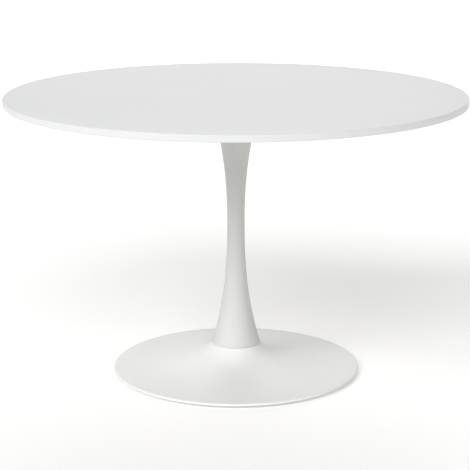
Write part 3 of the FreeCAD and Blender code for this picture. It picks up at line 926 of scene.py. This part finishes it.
class TABLE_OT_tie_rod(bpy.types.Operator):
    """Add the tie rod, its washers and its nut"""

    bl_idname = "table.tie_rod"
    bl_label = "Tie rod"

    def execute(self, context):
        rod = context.scene.table.rod
        self.add_rod(rod)
        self.add_washer(rod)
        self.add_spring_washer(rod)
        self.add_nut(rod)
        return {"FINISHED"}

    def add_rod(self, rod):
        """A plain bar threaded at both ends, with chamfered tips."""
        low, high = reach("tie_rod")[1:]
        radius, plain = rod.radius, rod.radius - 0.1 * MM
        tip, runout = 1.2 * MM, 2.4 * MM
        lower_end, upper_end = low + rod.threaded, high - rod.threaded
        section = [(0, low), (radius - tip, low), (radius, low + tip)]
        section += thread_rows(radius, rod.pitch, low + tip, lower_end)
        section += [(plain, lower_end + runout), (plain, upper_end - runout)]
        section += thread_rows(radius, rod.pitch, upper_end, high - tip)
        section += [(radius, high - tip), (radius - tip, high), (0, high)]
        shape = threaded(radius, rod.pitch, low, high)
        settle(solid(lathe(section, segments=40, shape=shape), "rod"), bright_zinc_plate, "tie_rod")

    def ring(self, node, name, bore, outer_round, bore_round):
        """A flat ring as large as its node, with rounded edges."""
        radius, low, high = reach(node)
        section = [(bore, low, bore_round), (radius, low, outer_round)]
        section += [(radius, high, outer_round), (bore, high, bore_round)]
        return solid(lathe(softened(section)), name)

    def add_washer(self, rod):
        piece = self.ring("tie_rod_washer", "rod_washer", rod.washer_bore, 0.8 * MM, 0.3 * MM)
        settle(piece, bright_zinc_plate, "tie_rod_washer")

    def add_spring_washer(self, rod):
        """A square-section ring with a slanting split."""
        node = "tie_rod_spring_washer"
        piece = self.ring(node, "spring_washer", rod.washer_bore, 0.3 * MM, 0.3 * MM)
        radius, low, high = reach(node)
        split_width, slant = 0.9 * MM, Matrix.Rotation(math.radians(25), 3, "X")
        split = bmesh.new()
        bmesh.ops.create_cube(split, size=1.0)
        bmesh.ops.scale(split, verts=split.verts, vec=(radius, split_width, 3 * (high - low)))
        bmesh.ops.rotate(split, verts=split.verts, cent=(0, 0, 0), matrix=slant)
        bmesh.ops.translate(split, verts=split.verts, vec=(radius, 0, (low + high) / 2))
        combine(piece, split, "DIFFERENCE")
        settle(piece, bright_zinc_plate, node)

    def add_nut(self, rod):
        """A hexagon nut with its corners chamfered at thirty degrees and its bore countersunk."""
        low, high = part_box("tie_rod_nut")[0].z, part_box("tie_rod_nut")[1].z
        bore, sink, face = rod.nut_bore, 0.6 * MM, TURNED_FACE * rod.across_flats
        blank = hexagon_corner(rod.across_flats) + OVERCUT
        drop = (blank - face) * TURNED_SLOPE
        section = [(bore + sink, low), (face, low), (blank, low + drop), (blank, high - drop)]
        section += [(face, high), (bore + sink, high), (bore, high - sink), (bore, low + sink)]
        piece = solid(lathe(section), "hex_nut")
        combine(piece, prism(rod.across_flats, low - OVERCUT, high + OVERCUT), "INTERSECT")
        settle(piece, bright_zinc_plate, "tie_rod_nut")


class TABLE_OT_feet(bpy.types.Operator):
    """Add the levelling feet: a nylon pad and a threaded stud each"""

    bl_idname = "table.feet"
    bl_label = "Levelling feet"

    def execute(self, context):
        table = context.scene.table
        for k, place in enumerate(foot_places(table.base), start=1):
            pad = solid(copies(self.pad(table.foot), [place]), f"pad_{k}")
            settle(pad, pad_nylon, f"foot_pad_{k}", body=f"foot_{k}_pad")
            stud = solid(self.stud(table.foot), f"stud_{k}")
            low, high = reach(f"foot_stud_{k}")[1:]
            hexagon = prism(table.foot.across_flats, low - OVERCUT, high + OVERCUT)
            combine(stud, hexagon, "INTERSECT")
            stud.data.transform(Matrix.Translation((*place, 0)))
            settle(stud, bright_zinc_plate, f"foot_stud_{k}", body=f"foot_{k}_stud")
        return {"FINISHED"}

    def pad(self, foot):
        """A round pad with a soft shoulder and the pocket that holds the stud's collar."""
        low, high = reach("foot_pad_1")[1:]
        radius = (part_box("foot_pad_1")[1].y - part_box("foot_pad_1")[0].y) / 2
        pocket, mouth = foot.collar_radius + foot.swivel, foot.neck_radius + foot.swivel
        section = [(0.0, low, 0.0), (radius - 1 * MM, low, 0.3 * MM), (radius, low + 1 * MM, 0.4 * MM)]
        section += [(radius, high - 1.5 * MM, 0.8 * MM), (radius - 3 * MM, high, 1.0 * MM)]
        section += [(mouth, high, 0.2 * MM), (mouth, high - foot.pad_lip, 0.0)]
        section += [(pocket, high - foot.pad_lip, 0.0)]
        section += [(pocket, foot.pad_floor, 0.2 * MM), (0.0, foot.pad_floor, 0.0)]
        return lathe(softened(section), segments=96)

    def stud(self, foot):
        """The turned stud: collar, neck, a disc that the hexagon is cut from, and the thread."""
        low, high = reach("foot_stud_1")[1:]
        pad_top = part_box("foot_pad_1")[1].z
        collar, collar_top = foot.collar_radius, pad_top - foot.pad_lip - foot.swivel
        hex_low, hex_high = pad_top + foot.swivel, reach("base_casting")[1] - 0.1 * MM
        flange, face = foot.flange_radius, TURNED_FACE * foot.across_flats
        drop = (flange - face) * TURNED_SLOPE
        tip, bevel = 0.8 * MM, 0.2 * MM
        radius, pitch = foot.stud_radius, foot.pitch
        section = [(0, low), (collar - bevel, low), (collar, low + bevel), (collar, collar_top)]
        section += [(foot.neck_radius, collar_top), (foot.neck_radius, hex_low), (face, hex_low)]
        section += [(flange, hex_low + drop), (flange, hex_high - drop), (face, hex_high)]
        section += [(radius, hex_high), *thread_rows(radius, pitch, hex_high, high - tip)]
        section += [(radius, high - tip), (radius - tip, high), (0, high)]
        shape = threaded(radius, pitch, hex_high + bevel, high)
        return lathe(section, segments=40, shape=shape)


class TABLE_OT_stage(bpy.types.Operator):
    """Add the floor, the lights and the camera"""

    bl_idname = "table.stage"
    bl_label = "Stage"

    def execute(self, context):
        scene = context.scene
        stage = scene.table.stage
        scene.view_settings.view_transform = "Standard"
        self.add_floor(stage)
        self.add_world(scene, stage)
        self.add_wide_light("key_light", stage, stage.key, azimuth=-45, elevation=33)
        self.add_wide_light("fill_light", stage, stage.fill, azimuth=0, elevation=36)
        self.add_wide_light("rear_light", stage, stage.rear, azimuth=180, elevation=38)
        self.add_backdrop_light(stage, place=(0.0, 9.5, 4.5))
        self.add_camera(scene, stage)
        return {"FINISHED"}

    def add_floor(self, stage):
        """A wide pale floor, just under the pads, that curves up into a low wall at its far edge."""
        mesh = bmesh.new()
        floor_height = cad_box[0].z - 0.1 * MM
        flat, cove, steps = stage.floor_radius, stage.cove, 12
        bends = [math.radians(90) * k / steps for k in range(steps + 1)]
        section = [(flat + cove * math.sin(bend), cove * (1 - math.cos(bend))) for bend in bends]
        rings = []
        for radius, rise in [(flat / 2, 0.0), *section, (flat + cove, stage.wall_height)]:
            places = around(96, radius)
            rings.append([mesh.verts.new((x, y, floor_height + rise)) for x, y in places])
        mesh.faces.new(rings[0])
        skin(mesh, rings)
        floor = solid(mesh, "floor")
        floor.data.shade_smooth()
        material, tree, place = new_material("pale_floor")
        tone = noise(tree, place, 600 * MM)
        settings = {"Roughness": 0.9, "Emission Color": linear(WHITE), "Emission Strength": stage.floor_glow}
        close(tree, settings, colour=shaded(tree, tone, stage.floor, 0.995))
        floor.data.materials.append(material)

    def add_world(self, scene, stage):
        world = bpy.data.worlds.new("studio")
        world.use_nodes = True
        background = world.node_tree.nodes["Background"]
        background.inputs["Color"].default_value = linear(WHITE)
        background.inputs["Strength"].default_value = stage.sky
        scene.world = world

    def add_wide_light(self, name, stage, strength, azimuth, elevation):
        """Soft light from afar: azimuth 0 is in front of the table, and positive is to the right."""
        light = bpy.data.lights.new(name, "SUN")
        light.energy = strength
        light.angle = stage.light_spread
        lamp = bpy.data.objects.new(name, light)
        bpy.context.scene.collection.objects.link(lamp)
        a, e = math.radians(azimuth), math.radians(elevation)
        away = Vector((math.sin(a) * math.cos(e), -math.cos(a) * math.cos(e), math.sin(e)))
        lamp.rotation_euler = away.to_track_quat("Z", "Y").to_euler()

    def add_backdrop_light(self, stage, place):
        """A square light that hangs face down over the floor behind the table."""
        light = bpy.data.lights.new("backdrop_light", "AREA")
        light.shape = "SQUARE"
        light.size = stage.backdrop_size
        light.energy = stage.backdrop
        lamp = bpy.data.objects.new("backdrop_light", light)
        bpy.context.scene.collection.objects.link(lamp)
        lamp.location = place

    def add_camera(self, scene, stage):
        data = bpy.data.cameras.new("camera")
        data.lens = stage.lens
        data.sensor_width = 36.0
        data.clip_end = 100.0
        camera = bpy.data.objects.new("camera", data)
        scene.collection.objects.link(camera)
        camera.location = (stage.camera_side, -stage.camera_distance, stage.camera_height)
        tilt = Matrix.Rotation(math.radians(90) - stage.camera_pitch, 4, "X")
        lean = Matrix.Rotation(stage.camera_roll, 4, "Z")
        camera.rotation_euler = (tilt @ lean).to_euler()
        scene.camera = camera


class TABLE_PT_sidebar(bpy.types.Panel):
    """The table's pieces and settings"""

    bl_idname = "TABLE_PT_sidebar"
    bl_label = "Round pedestal table"
    bl_space_type = "VIEW_3D"
    bl_region_type = "UI"
    bl_category = "Table"

    def draw(self, context):
        layout = self.layout
        for operator in OPERATORS:
            layout.operator(operator.bl_idname)
        table = context.scene.table
        for group_name in TableSettings.__annotations__:
            box = layout.box()
            box.label(text=group_name.capitalize())
            group = getattr(table, group_name)
            for name in type(group).__annotations__:
                box.prop(group, name)


SETTINGS = (BoardSettings, PlateSettings, ColumnSettings, BaseSettings, RodSettings, FootSettings)
SETTINGS += (FinishSettings, StageSettings, TableSettings)
OPERATORS = (TABLE_OT_board, TABLE_OT_inserts, TABLE_OT_plate, TABLE_OT_screws, TABLE_OT_column)
OPERATORS += (TABLE_OT_joint, TABLE_OT_base, TABLE_OT_tie_rod, TABLE_OT_feet, TABLE_OT_stage)


def register():
    for cls in (*SETTINGS, *OPERATORS, TABLE_PT_sidebar):
        bpy.utils.register_class(cls)
    bpy.types.Scene.table = PointerProperty(type=TableSettings)


def unregister():
    del bpy.types.Scene.table
    for cls in reversed((*SETTINGS, *OPERATORS, TABLE_PT_sidebar)):
        bpy.utils.unregister_class(cls)


def main():
    register()
    bpy.ops.table.board()
    bpy.ops.table.inserts()
    bpy.ops.table.plate()
    bpy.ops.table.screws()
    bpy.ops.table.column()
    bpy.ops.table.joint()
    bpy.ops.table.base()
    bpy.ops.table.tie_rod()
    bpy.ops.table.feet()
    bpy.ops.table.stage()


if __name__ == "__main__":
    main()
